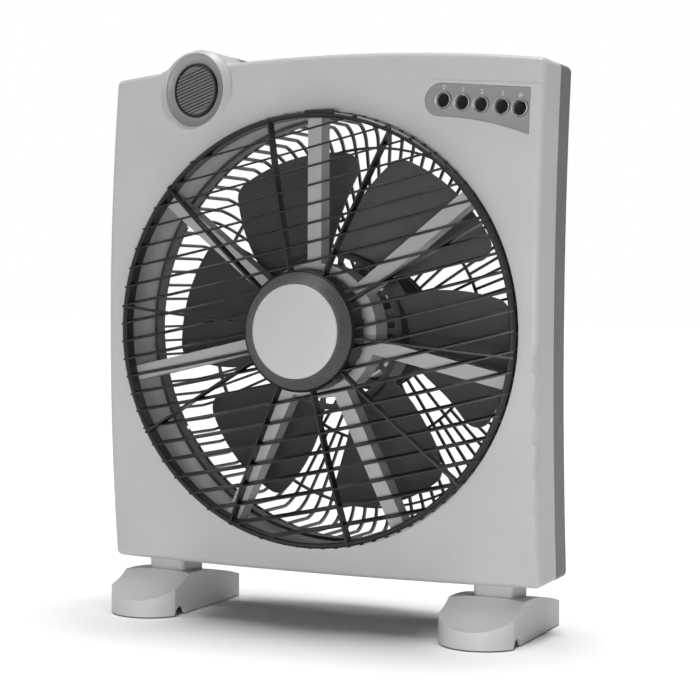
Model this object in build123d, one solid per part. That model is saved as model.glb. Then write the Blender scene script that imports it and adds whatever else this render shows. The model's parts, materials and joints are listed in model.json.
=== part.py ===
"""A 14-inch box fan: a bowed housing on two feet, with a turning louvre grille in front of the
blades, a deep ribbed basket behind them, a push-button panel and a rotary timer.

Everything is modelled about the centre of the louvre ring, with X to the right, Y to the back and
Z up, and is moved at export so that the origin lies on the floor, under the middle of the fan.
"""
from build123d import *
from math import atan2, cos, degrees, hypot, radians, sin, sqrt, tan
import os

# ---- driving dimensions, millimetres and degrees ----
AXIS_HEIGHT = 270.5          # fan axis above the floor
FAR = 300.0                  # reach of a cut that goes right through
SEAM = 0.3                   # gap left between two mouldings
RUN_FIT = 0.05               # radial clearance of a running fit
PILOT_R = 1.5                # hole, and shank, of the small screws

HALF_WIDTH = 217.0           # housing, side to axis
TOP_CORNER = 238.0           # housing height above the axis at its corners
TOP_CROWN = 251.5            # and at the crown of the arched top
LOW_CORNER = -221.4
LOW_CROWN = -224.3
CORNER_R = 6.0
EDGE_R = 6.0                 # rounding between the faces and the sides
WALL = 3.0
FACE_Y = 5.0                 # front face at mid-height
BOW = 15.0                   # how far the face falls back at BOW_SPAN
BOW_SPAN = 238.0
BOW_R = (BOW_SPAN ** 2 + BOW ** 2) / (2 * BOW)
SPLIT = 43.5                 # depth of the front shell
DEPTH = 77.5                 # depth of the whole housing
GROOVE = ((112, 224.6), (219, 215.6), (219, 214.6), (112, 223.6))   # fine line over the panel
GROOVE_DEPTH = 0.7

DUCT_R = 199.5               # bore of the round duct
DUCT_WALL = 2.5
DUCT_BACK = 62.0             # where the duct wall ends
COLLAR_R = (206.5, 209.5)    # collar of the rear shell, round the rim of the basket
SEAT_T = 3.0
REAR_HOLE_R = 200.4

SHELL_POSTS = ((-204, 222), (205, 229), (0, 226), (-204, -207), (204, -207), (0, -212.5))
POST_R = 5.0
SHELL_HEAD = SPLIT + 14      # seat of the shell screws' heads
SHELL_HEAD_R = 3.4
SHELL_SCREW_L = 38.0
GLAND_X, GLAND_Z, GLAND_R = -186.0, -186.0, 6.5
LEAD_R = 3.4                 # bore of the gland

RING_R = 198.0               # louvre grille
RING_INNER_R = 193.0
RING_FRONT = -0.5
RING_BACK = 12.2
NIBS = 96                    # small nibs round the outside of the ring
NIB_R = 199.2
NIB_Y = (5.5, 8.9)           # they sit on the back of the ring, inside the duct
TAB = (10.5, 196.8, 30.0, 4.8)                           # x, z, width and height of the ring's tab
SLAT_PITCH = 16.95
SLAT_COUNT = 22
SLAT_RISE = 1.2              # middle of the rows above the axis
SLAT_TURN = 12.2             # how far the slats lean from level
SLAT_TILT = 13.5             # louvre angle: the front edge of each slat is the lower one
SLAT_T = 1.4
GRILLE_DEPTH = 10.0
RIB_COUNT = 10
RIB_START = 30.0
RIB_T = 2.0
DOME = ((53.0, -16.4), (120.0, -12.5), (RING_R, -1.2))   # (radius, Y) of the dome's front

HUB_R = 55.0                 # hub of the louvre grille
HUB_WALL = 2.6
HUB_FRONT = -17.0
HUB_BACK = 4.0
HUB_NOTCHES = 24
NOTCH = (6.5, 5.0)           # width and depth of a notch
WEB_Y = (-9.0, -6.5)
BEARING_TUBE = (11.0, 9.2)   # radius and back end of the grille's long bearing
CONE_STEPS = 5
CAP_R = 42.5
CAP_Y = -28.0
CAP_CROWN = 2.2
AXLE_R = 6.0
AXLE_END = -12.0
WASHER_T = 1.2

MODULE = 2.0                 # louvre drive: internal ring gear and pinion
RING_TEETH = 50
PINION_TEETH = 12
GEAR_Y = (-3.5, 2.5)
SPINDLE_R = 2.5
SPINDLE_GRIP = 8.0           # how far the pinion's spindle enters the motor
PINION_X = 0.0
PINION_Z = -(RING_TEETH - PINION_TEETH) * MODULE / 2
LOUVRE_MOTOR = (0.0, -30.0)
LOUVRE_MOTOR_R = 22.5
LOUVRE_EAR = 27.0
EAR_W, EAR_T = 8.0, 1.5
LOUVRE_MOTOR_Y = (15.9, 30.0)

SPOKES = 7
SPOKE_W = 13.7
SPOKE_RIM = 2.2              # thickness of a spoke's side walls
SPOKE_REACH = (61.0, 199.0)
SPOKE_SCREW_R = 191.0
SPIDER_Y = 13.0
SPIDER_DEPTH = 17.0
SPIDER_RIM = 3.0
EAR_GAP = 0.3                # between the spider and the ears it is screwed to
EAR_DEPTH = 4.0
DRUM_R = 62.0
DRUM_WALL = 2.5
DRUM_BACK = 38.0
LID_T = 2.0

FAN_HUB_R = 74.0             # impeller
FAN_HUB_Y = 40.0
FAN_HUB_BACK = 70.0
FAN_HUB_WALL = 2.5
RECESS_R = (15.0, 18.0)      # recess for the nut, floor and mouth
RECESS_Y = 8.0
FAN_TIP_R = 171.0
BLADES = 6
BLADE_START = 62.5
BLADE_ARC = 46.0             # angle that each blade covers
BLADE_SWEEP = 16.5           # how far its tip runs ahead of its root
BLADE_ROOT = (57.0, 0.565)   # depth of the blade's middle line, and its climb per degree, at the hub
BLADE_TIP = (63.8, 0.62)     # and at the tip
BLADE_TIP_DROP = 6.0         # how much shorter the leading edge is
BLADE_T = 2.4
BLADE_CAMBER = 2.5
BLADE_CORNER_R = 15.0
VENTS = 23
VENT_R = 64.0
VENT = (9.0, 12.8)           # radial and tangential size of a vent
SHAFT_R = 4.0
NUT_R = 11.0

STATOR_R = 48.0              # motor
MOTOR_Y = (92.0, 146.0)
STATOR_Y = (106.0, 134.0)
POLES = 16
POLE_SLOT = (11.0, 4.5)
ROTOR_R = 26.0
AIR_GAP = 0.6
WINDING_R = (30.0, 40.0)
WINDING_RISE = (6.0, 5.5)    # end turns in front of and behind the stack
BELL_WALL = 2.0
BELL_VENT = (12.0, 5.0)
SEAT_R, SEAT_DEPTH = 12.5, 8.0
BEARING_R = 9.5
BEARING_T = 6.0
TIE_R = 44.5
TIE_SCREW_R = 2.0
TIE_SCREW_L = 46.0
LUG_R = 4.5

BASKET_R = (197.3, 199.9)    # rear basket: its wall, inside and outside
BASKET_RIM_R = (196.5, 206.0)
BASKET_RIM_Y = (62.5, 68.0)
BASKET_BAND = 74.0           # where the ribs leave the rim
BASKET_CORNER = ((180.0, 138.9), (191.5, 133.3), (197.3, 124.0))    # (radius, Y) inside
BASKET_DOME = ((60.0, 150.0), (112.0, 147.0))
BASKET_T = 3.0
BASKET_RIB_T = 2.4
BASKET_ROWS = ((61.5, 110.8, 45), (113.2, 174.8, 90), (177.2, 201.0, 90))   # slots: radii, count
PLATE_R = (55.0, 60.0)       # motor plate, sunk into the back of the basket
PLATE_T = 3.0
RIM_SCREW_R = 203.2
RIM_ANGLES = [30 + 60 * k for k in range(6)]
RIM_HEAD_R = 2.7
COVER_R = 51.0
COVER_BACK = 154.0
COVER_T = 1.8
COVER_SLOTS = 7

BOSS_X, BOSS_Z, BOSS_R = -128.0, 224.5, 38.5             # timer
BOSS_FORWARD = 1.5
BOSS_BLEND = 16.0
BOSS_LIP = 1.2
FUNNEL = (4.0, 7.0)          # width and depth of the funnel round the timer
TIMER_TILT = -9.0
KNOB_R = 25.0
KNOB_RIM = 2.2
KNOB_RIBS = 13
KNOB_RIB_PITCH = 3.0
KNOB_RIB_LEAN = -16.0
BEZEL_R = 34.2
TIMER_FLOOR = (8.6, 10.4)
TIMER_BOX = (42.0, 22.0, 36.0)
TIMER_SHAFT_R = 3.0
TIMER_SCREWS = ((-16, 0), (16, 0))

BUTTONS = ((124.5, 204.3), (142.4, 201.4), (160.0, 198.9), (179.3, 196.4), (196.0, 194.4))
BUTTON_R = 7.25
BUTTON_GAP = 0.35
BUTTON_PROUD = 3.5
BUTTON_TRAVEL = 4.0
BUTTON_FACE_R = 4.85
KEY_RING = (4.9, 6.8, 5.0)   # inner and lip radius of the key's bright ring, and its length
STEM_R = 2.4
STEM_END = 15.0
SWITCH_FRONT = 12.0
SWITCH_BOX = (88.0, 23.0, 17.0)
PANEL_T = 2.0
PANEL_NOSE = (121.5, 205.2, 14.6)                        # centre and radius of its round end
PANEL_RIGHT = 204.5
PANEL_LOW = ((163.0, 184.4), 171.4)                      # middle of the lower edge, lower corner
PANEL_HIGH = 212.0

FOOT_X = 168.0
FOOT_W = 70.0
FOOT_Y = (-32.0, 120.0)
FLOOR = -AXIS_HEIGHT
PAD_LIFT = 1.2               # how far the rubber pads hold the foot off the floor
PAD_T = 3.0
PADS = ((0.0, -22.0), (-22.0, 104.0), (22.0, 104.0))
PAD_R = 6.5
FOOT_WALL = 3.2
FOOT_CAVITY = 10.0
FOOT_SHOULDER = -10.0        # where the round nose begins
FOOT_TOP = ((-8, -236.2), (26, -233.4), (67, -237), (105, -245))
FOOT_NOSE_Z = -246.5
FOOT_TAIL_Z = -250.5
FOOT_HEAD = -238.0           # seat of the foot screws' heads
FOOT_SCREWS = ((-11, 42), (11, 42), (0, 67))
FOOT_SCREW_L = 30.0
FOOT_SCREW_HEAD = (3.8, 2.6)
FOOT_BOSS_R = 4.5
SCOOP_R = 76.0
SCOOP_AT = (-24.0, -254.5)   # Y and Z of the lowest point of the scoop
ARCH_R = 10.0
NECK_Y = (31.0, 72.0)
NECK_W = 38.0
NECK_TOP = -223.2
NECK_LOW = -245.0
NECK_CORNER_R = 5.0

CAPACITOR = (34.0, 18.0, 24.0)
CAPACITOR_X, CAPACITOR_Z = 182.0, -178.0

PLACE = Pos(0, -(FOOT_Y[0] + COVER_BACK) / 2, AXIS_HEIGHT)


# ---- helpers ----
def plate(shape, y0, y1):
    """An outline in the X-Z plane, given thickness from y0 back to y1."""
    return extrude(Plane.XZ.offset(-y0) * shape, y0 - y1)


def turned(*points):
    """A body turned about the fan axis from its (radius, Y) outline."""
    return revolve(make_face(Polyline(*points, close=True)), Axis.Y)


def tube(r0, r1, y0, y1):
    """A tube or, with r0 of 0, a rod about the fan axis."""
    return turned((r0, y0), (r1, y0), (r1, y1), (r0, y1))


def at_angle(shape, angle):
    """Turned about the fan axis, anticlockwise from the front."""
    return Rot(Y=-angle) * shape


def polar(r, angle):
    return (r * cos(radians(angle)), r * sin(radians(angle)))


def spread(points, shape):
    """Copies of a shape at points in the X-Z plane."""
    return [Pos(x, 0, z) * shape for x, z in points]


def ring_of(shape, count, start=0.0):
    """Copies of a shape, evenly round the fan axis."""
    return [at_angle(shape, start + 360 / count * k) for k in range(count)]


def bow(z):
    """Y of the bowed front face at height z."""
    return FACE_Y + BOW_R - sqrt(BOW_R ** 2 - z ** 2)


def bowed(front, back):
    """All the space between two depths behind the bowed front face."""

    def curve(depth):
        points = [(-FAR, bow(z) + depth, z) for z in (-FAR, 0, FAR)]
        return ThreePointArc(*points)

    near, far = curve(front), curve(back)
    ends = [Line(near @ 0, far @ 0), Line(near @ 1, far @ 1)]
    return extrude(make_face([near, far] + ends), amount=2 * FAR, dir=(1, 0, 0))


def screw(shank_r, length, head_r, head_t):
    """A screw along +Y, its head's underside at Y = 0."""
    return tube(0, shank_r, -head_t / 2, length) + tube(0, head_r, -head_t, 0)


def back_screw(shank_r, length, head_r, head_t):
    """The same screw, driven forward from behind."""
    return Rot(Z=180) * screw(shank_r, length, head_r, head_t)


# ---- housing ----
def outline(inset):
    """Front view of the housing, with the timer boss on its top edge."""
    w, top, low = HALF_WIDTH - inset, TOP_CORNER - inset, LOW_CORNER + inset
    body = make_face([
        Line((-w, low), (-w, top)),
        ThreePointArc((-w, top), (0, TOP_CROWN - inset), (w, top)),
        Line((w, top), (w, low)),
        ThreePointArc((w, low), (0, LOW_CROWN + inset), (-w, low)),
    ])
    body = fillet(body.vertices(), CORNER_R - inset / 2)
    boss_r = BOSS_R - inset
    body = body + Pos(BOSS_X, BOSS_Z) * Circle(boss_r)
    meets = [v for v in body.vertices()
             if abs(hypot(v.X - BOSS_X, v.Y - BOSS_Z) - boss_r) < 0.01 and v.Y > BOSS_Z]
    return fillet(meets, BOSS_BLEND + inset)


def housing(inset, front, back):
    return plate(outline(inset), -FAR, FAR) & bowed(front, back)


def edges_at_depth(body, depth):
    """The outer edges that lie on the bowed surface at this depth."""
    return [e for e in body.edges() if all(
        abs((e @ t).Y - bow((e @ t).Z) - depth) < 0.05 for t in (0, 0.5, 1))]


def timer_frame(shape):
    """From the timer's own axis to its place on the boss."""
    return Pos(BOSS_X, bow(BOSS_Z) - BOSS_FORWARD, BOSS_Z) * Rot(Z=TIMER_TILT) * shape


def timer_pad():
    """Raised ring round the timer, sloping down to the face."""
    lip, mouth = BEZEL_R + BOSS_LIP, BEZEL_R + SEAM
    return timer_frame(turned((mouth, -0.8), (lip, -0.8), (BOSS_R, 6), (BOSS_R, 13), (mouth, 13)))


def timer_clearing():
    """Steep funnel in front of the timer, where the bowed face stands ahead of its bezel."""
    lip, (out, ahead) = BEZEL_R + BOSS_LIP, FUNNEL
    return timer_frame(turned((0, -0.8), (lip, -0.8), (lip + out, -ahead), (lip + out, -40), (0, -40)))


def timer_backing():
    """Wall behind the funnel, kept inside the housing."""
    lip, (out, ahead) = BEZEL_R + BOSS_LIP, FUNNEL
    wall = turned((BEZEL_R + SEAM, -0.8), (lip, -0.8), (lip + out, -ahead), (lip + out + WALL, -ahead),
                  (lip + out + WALL, 2), (lip, 6), (BEZEL_R + SEAM, 6))
    return timer_frame(wall) & housing(0.5, 0, SPLIT)


def panel_outline(grow):
    """The control panel: round at the left, flaring down to the right."""
    x, z, nose_r = PANEL_NOSE
    (low_x, low_z), corner_z = PANEL_LOW
    right = PANEL_RIGHT + grow

    def on_nose(angle):
        across, up = polar(nose_r + grow, angle)
        return (x + across, z + up)

    start, end = on_nose(84), on_nose(-98)
    return make_face([
        ThreePointArc(start, on_nose(173), end),
        ThreePointArc(end, (low_x, low_z - grow), (right, corner_z - grow)),
        Line((right, corner_z - grow), (right, PANEL_HIGH + grow)),
        Line((right, PANEL_HIGH + grow), start),
    ])


def shell_posts(y0, back):
    """Screw posts from behind the face to the split, clear of the duct."""
    return [Pos(x, 0, z) * tube(0, POST_R, y0, bow(z) + back) for x, z in SHELL_POSTS]


def foot_screw_points(side):
    """(x, y) of the three screws that hold one foot."""
    return [(side * FOOT_X + x, y) for x, y in FOOT_SCREWS]


def foot_bosses(y0, y1):
    """Upright bosses on the housing floor for the foot screws between two depths."""
    boss = Cylinder(FOOT_BOSS_R, 15)
    points = foot_screw_points(-1) + foot_screw_points(1)
    return [Pos(x, y, LOW_CORNER + 7) * boss for x, y in points if y0 < y < y1]


def foot_pilots():
    hole = Cylinder(PILOT_R, 30)
    return [Pos(x, y, LOW_CORNER + 7) * hole for side in (-1, 1) for x, y in foot_screw_points(side)]


def spoke_angle(k):
    return 90 + 360 / SPOKES * k


def spider_ears():
    """Ears inside the duct that the spider is screwed to."""
    back = SPIDER_Y + SPIDER_DEPTH + EAR_GAP
    ear = Pos(192.5, back + EAR_DEPTH / 2, 0) * Box(15, EAR_DEPTH, 11)
    return [at_angle(ear, spoke_angle(k)) & tube(185, DUCT_R + 1, 0, 60) for k in range(SPOKES)]


def front_shell():
    body = housing(0, 0, SPLIT)
    body = fillet(edges_at_depth(body, 0), EDGE_R)
    body = body - housing(WALL, WALL, SPLIT + 5)
    duct = tube(0, DUCT_R + DUCT_WALL, -20, DUCT_BACK)
    body = body + (duct & bowed(0, 2 * DEPTH)) - tube(0, DUCT_R, -FAR, FAR)
    inside = housing(WALL / 2, WALL / 2, SPLIT)
    body = body + [post & inside for post in shell_posts(-20, SPLIT)]
    body = body + [boss & inside for boss in foot_bosses(0, 55)]
    body = body + spider_ears()
    body = body + timer_backing() - timer_clearing() + timer_pad()
    cuts = [timer_frame(tube(0, BEZEL_R + SEAM, -30, 5)),
            timer_frame(tube(0, BEZEL_R - 2, -30, 30)),
            plate(panel_outline(SEAM), -20, 60) & bowed(-20, PANEL_T),
            plate(panel_outline(-3), -20, 60) & bowed(-20, WALL + 2)]
    cuts += [Pos(x, 0, z) * tube(0, PILOT_R, bow(z) + 14, bow(z) + 60) for x, z in SHELL_POSTS]
    cuts += [at_angle(Pos(SPOKE_SCREW_R, 0, 0) * tube(0, PILOT_R, 25, 40), spoke_angle(k))
             for k in range(SPOKES)]
    cuts += foot_pilots() + spread(BUTTONS, tube(0, BUTTON_R + BUTTON_GAP, -20, 60))
    cuts.append(plate(make_face(Polyline(*GROOVE, close=True)), -20, 60) & bowed(-20, GROOVE_DEPTH))
    return body - cuts


def rear_shell():
    body = housing(0, SPLIT + SEAM, DEPTH)
    body = fillet(edges_at_depth(body, DEPTH), EDGE_R)
    body = body - housing(WALL, 0, DEPTH - WALL)
    inside = housing(WALL / 2, SPLIT + SEAM, DEPTH - WALL / 2)
    seat = BASKET_RIM_Y[1] + SEAM
    body = body + (tube(*COLLAR_R, BASKET_RIM_Y[0], FAR) & bowed(0, DEPTH - WALL / 2))
    body = body + tube(REAR_HOLE_R, COLLAR_R[1], seat, seat + SEAT_T)
    for x, z in SHELL_POSTS:
        body = body + (Pos(x, 0, z) * tube(0, POST_R, 0, FAR) & inside)
    for boss in foot_bosses(60, 90):
        body = body + (boss & inside)
    cuts = [tube(0, REAR_HOLE_R, 0, FAR)]
    for x, z in SHELL_POSTS:
        cuts.append(Pos(x, 0, z) * tube(0, PILOT_R + 0.2, 0, FAR))
        cuts.append(Pos(x, 0, z) * tube(0, SHELL_HEAD_R, bow(z) + SHELL_HEAD, FAR))
    for angle in RIM_ANGLES:
        hole = tube(0, PILOT_R + 0.1, seat - 1, FAR) + tube(0, RIM_HEAD_R + 0.5, seat + SEAT_T, FAR)
        cuts.append(at_angle(Pos(RIM_SCREW_R, 0, 0) * hole, angle))
    cuts.append(Pos(GLAND_X, 0, GLAND_Z) * tube(0, GLAND_R, 60, FAR))
    return body - cuts - foot_pilots()


def cord_gland():
    """The moulded inlet in the back of the housing."""
    neck = GLAND_R - 0.6
    profile = ((LEAD_R, -WALL - 3), (neck, -WALL - 3), (neck, 0), (9.5, 0), (9.5, 2.2), (6.2, 9),
               (LEAD_R, 9))
    lean = degrees(-GLAND_Z / BOW_R)
    return Pos(GLAND_X, bow(GLAND_Z) + DEPTH + 0.05, GLAND_Z) * Rot(X=lean) * turned(*profile)


# ---- spider that carries the louvre grille ----
def motor_ears(shape):
    """Copies of a shape at the two ears of the louvre motor."""
    x, z = LOUVRE_MOTOR
    return spread(((x - LOUVRE_EAR, z), (x + LOUVRE_EAR, z)), shape)


def grille_spider():
    y0, y1 = SPIDER_Y, SPIDER_Y + SPIDER_DEPTH
    outside = DUCT_R - SEAM
    body = tube(DUCT_R - SPIDER_RIM, outside, y0, y1)
    body = body + tube(0, DRUM_R, y0, y0 + DRUM_WALL)
    body = body + tube(DRUM_R - DRUM_WALL, DRUM_R, y0, DRUM_BACK)
    r0, r1 = SPOKE_REACH
    bar = Pos((r0 + r1) / 2, (y0 + y1) / 2, 0) * Box(r1 - r0, SPIDER_DEPTH, SPOKE_W)
    trough = Box(r1 - r0 - 20, SPIDER_DEPTH, SPOKE_W - 2 * SPOKE_RIM)
    trough = Pos((r0 + r1) / 2 - 7, (y0 + y1) / 2 + DRUM_WALL, 0) * trough
    body = body + [at_angle(bar - trough, spoke_angle(k)) for k in range(SPOKES)]
    body = body & tube(0, outside, 0, 60)
    body = body + tube(0, 10, y0 - 3, y0) + tube(0, AXLE_R, AXLE_END, y0)
    cuts = [tube(0, PILOT_R, AXLE_END - 1, 8), Pos(PINION_X, 0, PINION_Z) * tube(0, 4, 5, 20)]
    cuts += motor_ears(tube(0, PILOT_R, y0 - 1, y0 + 4))
    cuts += [at_angle(Pos(SPOKE_SCREW_R, 0, 0) * tube(0, PILOT_R, y0 + 4, y1 + 1), spoke_angle(k))
             for k in range(SPOKES)]
    return body - cuts


def louvre_motor():
    """Small geared synchronous motor with two ears, its spindle bore off centre."""
    y0, y1 = LOUVRE_MOTOR_Y
    can = tube(0, LOUVRE_MOTOR_R, y0, y1)
    ears = Pos(0, y0 + EAR_T / 2, 0) * Box(2 * LOUVRE_EAR + EAR_W, EAR_T, EAR_W)
    body = Pos(LOUVRE_MOTOR[0], 0, LOUVRE_MOTOR[1]) * (can + ears)
    spindle = Pos(PINION_X, 0, PINION_Z) * tube(0, SPINDLE_R + RUN_FIT, y0 - 1, y0 + SPINDLE_GRIP + 1)
    return body - motor_ears(tube(0, PILOT_R, y0 - 1, y0 + 3)) - spindle


def louvre_motor_screws():
    """Short screws, driven forward through the motor's ears."""
    return motor_ears(Pos(0, LOUVRE_MOTOR_Y[0] + EAR_T, 0) * back_screw(PILOT_R, 3.4, 2.8, 1.8))


def tooth_ring(teeth, tip, root, tip_w, root_w, start):
    """Straight-sided gear teeth: a list of faces, each from root radius to tip radius."""
    tooth = make_face(Polyline((root, -root_w / 2), (tip, -tip_w / 2), (tip, tip_w / 2),
                               (root, root_w / 2), close=True))
    return [Rot(Z=start + 360 / teeth * k) * tooth for k in range(teeth)]


def louvre_pinion():
    """Pinion moulded on the louvre motor's spindle."""
    pitch_r = PINION_TEETH * MODULE / 2
    root = pitch_r - 0.75 * MODULE
    gear = Circle(root + 0.05)
    for tooth in tooth_ring(PINION_TEETH, pitch_r + 0.6 * MODULE, root - 0.4, 1.5, 3.1, -90):
        gear = gear + tooth
    spindle = tube(0, SPINDLE_R, GEAR_Y[0], LOUVRE_MOTOR_Y[0] + SPINDLE_GRIP)
    return Pos(PINION_X, 0, PINION_Z) * (plate(gear, *GEAR_Y) + spindle)


def ring_gear():
    """Internal gear pressed into the hub of the louvre grille."""
    pitch_r = RING_TEETH * MODULE / 2
    half_pitch = 180 / RING_TEETH
    tip, root = pitch_r - 0.55 * MODULE, pitch_r + 0.75 * MODULE
    gear = Circle(HUB_R - HUB_WALL) - Circle(root)
    for tooth in tooth_ring(RING_TEETH, tip, root + 0.2, 1.5, 3.0, -90 + half_pitch):
        gear = gear + tooth
    return plate(gear, *GEAR_Y)


def axle_washer():
    return tube(PILOT_R, 10, AXLE_END - WASHER_T, AXLE_END)


def axle_screw():
    return Pos(0, AXLE_END - WASHER_T, 0) * screw(PILOT_R, 16, 3.4, 2.2)


def drum_cover():
    """Push-in lid that closes the back of the spider's drum."""
    r, back = DRUM_R - DRUM_WALL, DRUM_BACK - 0.4
    return tube(0, r, back - LID_T, back) + tube(r - 2, r, back - 3 * LID_T, back - LID_T / 2)


# ---- turning louvre grille ----
def dome_layer(r_in, r_out):
    """The domed layer that the slats and ribs fill, from its front surface back."""
    arc = ThreePointArc(*DOME)
    back = Pos(0, GRILLE_DEPTH, 0) * arc
    layer = revolve(make_face([arc, back, Line(arc @ 0, back @ 0), Line(arc @ 1, back @ 1)]), Axis.Y)
    return layer & tube(r_in, r_out, -FAR, FAR)


def louvre_slats():
    slat = Rot(X=SLAT_TILT) * Box(2 * RING_R, 4 * GRILLE_DEPTH, SLAT_T)
    fall = DOME[2][1] - DOME[0][1]
    slats = []
    for k in range(SLAT_COUNT):
        z = SLAT_RISE + (k - (SLAT_COUNT - 1) / 2) * SLAT_PITCH
        reach = min(1.0, (abs(z) + 20) / RING_R)
        middle = DOME[0][1] + reach ** 2 * fall + GRILLE_DEPTH / 2
        slats.append(Rot(Y=-SLAT_TURN) * Pos(0, middle, z) * slat)
    return slats


def louvre_ring():
    """Outer ring with rounded front edges, nibs round its outside and a tab at the top."""
    soft = 1.0
    ring = turned((RING_INNER_R, RING_FRONT + soft), (RING_INNER_R + soft, RING_FRONT),
                  (RING_R - 1.5, RING_FRONT), (RING_R, RING_FRONT + 1.5), (RING_R, RING_BACK),
                  (RING_INNER_R, RING_BACK))
    nib = Pos(RING_R, sum(NIB_Y) / 2, 0) * Box(2 * (NIB_R - RING_R), NIB_Y[1] - NIB_Y[0], 2.6)
    x, z, width, height = TAB
    tab = Pos(x, 1.2, z) * Box(width, 3.4, height)
    tab = fillet(tab.edges().filter_by(Axis.Y), 2)
    return ring + ring_of(nib, NIBS) + (tab - tube(0, RING_R - 1, -20, 20))


def louvre_grille():
    layer = dome_layer(HUB_R - 1, RING_R)
    rib = Pos(RING_R / 2, -5, 0) * Box(RING_R, 4 * GRILLE_DEPTH, RIB_T)
    body = Part() + [bar & layer for bar in louvre_slats() + ring_of(rib, RIB_COUNT, RIB_START)]
    body = body - tube(RING_INNER_R + 1, RING_R + 1, 2, 40) + louvre_ring()
    sleeve = tube(HUB_R - HUB_WALL, HUB_R, HUB_FRONT, HUB_BACK)
    bearing_r, bearing_back = BEARING_TUBE
    web = tube(AXLE_R, HUB_R - 1, *WEB_Y) + tube(AXLE_R, bearing_r, AXLE_END + 0.4, bearing_back)
    width, depth = NOTCH
    notch = Pos(HUB_R, HUB_BACK, 0) * Box(3 * HUB_WALL, depth, width)
    body = body + (sleeve - ring_of(notch, HUB_NOTCHES)) + web
    return body - tube(0, AXLE_R + RUN_FIT, -FAR, FAR)


def hub_cone():
    """Smoked ring with fine steps, between the cap and the hub."""
    inner, outer = CAP_R + 0.2, HUB_R
    front, back = CAP_Y + 1, HUB_FRONT
    rise, run = (back - front) / CONE_STEPS, (outer - inner) / CONE_STEPS
    steps = [(inner, front)]
    for k in range(CONE_STEPS):
        r, y = inner + run * (k + 1), front + rise * k
        steps += [(r, y + 0.35 * rise), (r, y + rise)]
    seat = HUB_R - HUB_WALL
    inside = [(seat, back), (seat, back + 4), (seat - 2, back + 4), (CAP_R - 2, CAP_Y + 5.5),
              (CAP_R - 2, CAP_Y + 3.2), (inner, CAP_Y + 3.2)]
    return turned(*steps, *inside)


def hub_cap():
    """Gently domed disc in the middle of the louvre grille."""
    crown, edge = CAP_Y - CAP_CROWN, CAP_R - 1
    dome = ThreePointArc((0, crown), (CAP_R * 0.6, crown + 0.7), (edge, CAP_Y + 0.2))
    rim = Polyline((edge, CAP_Y + 0.2), (CAP_R, CAP_Y + 1.2), (CAP_R, CAP_Y + 3), (0, CAP_Y + 3),
                   (0, crown))
    return revolve(make_face([dome] + rim.edges()), Axis.Y)


# ---- impeller ----
def blade():
    """One blade about angle 0: a twisted sheet trimmed to its swept outline."""
    half = BLADE_ARC / 2 + BLADE_SWEEP

    def section(x):
        share = (x - FAN_HUB_R) / (FAN_TIP_R - FAN_HUB_R)
        middle, climb = (near + (far - near) * share for near, far in zip(BLADE_ROOT, BLADE_TIP))
        reach, drop = x * tan(radians(half)), climb * half
        low = ThreePointArc((x, middle + drop, -reach), (x, middle + BLADE_CAMBER, 0),
                            (x, middle - drop, reach))
        high = Pos(0, BLADE_T, 0) * low
        return make_face([low, high, Line(low @ 0, high @ 0), Line(low @ 1, high @ 1)])

    sheet = loft([section(FAN_HUB_R - 18), section(FAN_TIP_R + 25)], ruled=True)
    lead, trail = -BLADE_ARC / 2, BLADE_ARC / 2
    root_r = FAN_HUB_R - 2
    mid_r = (root_r + FAN_TIP_R) / 2

    def edge(side, shift, tip_r):
        return ThreePointArc(polar(root_r, side), polar(mid_r, side - BLADE_SWEEP * shift),
                             polar(tip_r, side - BLADE_SWEEP))

    ahead, behind = edge(lead, 0.6, FAN_TIP_R - BLADE_TIP_DROP), edge(trail, 0.45, FAN_TIP_R)
    tip = ThreePointArc(ahead @ 1, polar(FAN_TIP_R - 1, -BLADE_SWEEP), behind @ 1)
    root = ThreePointArc(ahead @ 0, polar(root_r, 0), behind @ 0)
    plan = make_face([ahead, tip, behind, root])
    corners = [v for v in plan.vertices() if hypot(v.X, v.Y) > mid_r]
    plan = fillet(corners, BLADE_CORNER_R)
    return sheet & plate(plan, 0, FAR)


def impeller():
    y0, y1, wall = FAN_HUB_Y, FAN_HUB_BACK, FAN_HUB_WALL
    floor_r, mouth_r = RECESS_R
    dip = y0 + RECESS_Y
    body = turned((0, dip), (floor_r, dip), (mouth_r, y0), (FAN_HUB_R - 3, y0), (FAN_HUB_R, y0 + 3),
                  (FAN_HUB_R, y1), (FAN_HUB_R - wall, y1), (FAN_HUB_R - wall, y0 + 4),
                  (FAN_HUB_R - 4, y0 + wall), (mouth_r + 1.5, y0 + wall), (floor_r + 2, dip + wall),
                  (0, dip + wall))
    body = body + ring_of(blade(), BLADES, BLADE_START)
    radial, tangential = VENT
    vent = Pos(VENT_R, y0 + 1, 0) * Box(radial, 8, tangential)
    body = body - ring_of(vent, VENTS, 180 / VENTS)
    return body - tube(0, SHAFT_R, 0, 100)


def impeller_nut():
    """Plastic cap nut in the recess of the impeller."""
    nut = RegularPolygon(NUT_R, 6) - Circle(SHAFT_R)
    return plate(nut, FAN_HUB_Y + 1.5, FAN_HUB_Y + RECESS_Y)


# ---- motor ----
def motor_shaft():
    return tube(0, SHAFT_R, FAN_HUB_Y + 2, MOTOR_Y[1] - 2)


def rotor():
    y0, y1 = STATOR_Y
    return tube(SHAFT_R, ROTOR_R, y0, y1) + tube(14, ROTOR_R - 1.5, y0 - 2, y1 + 2)


def tie_points():
    return [polar(TIE_R, 45 + 90 * k) for k in range(4)]


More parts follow.
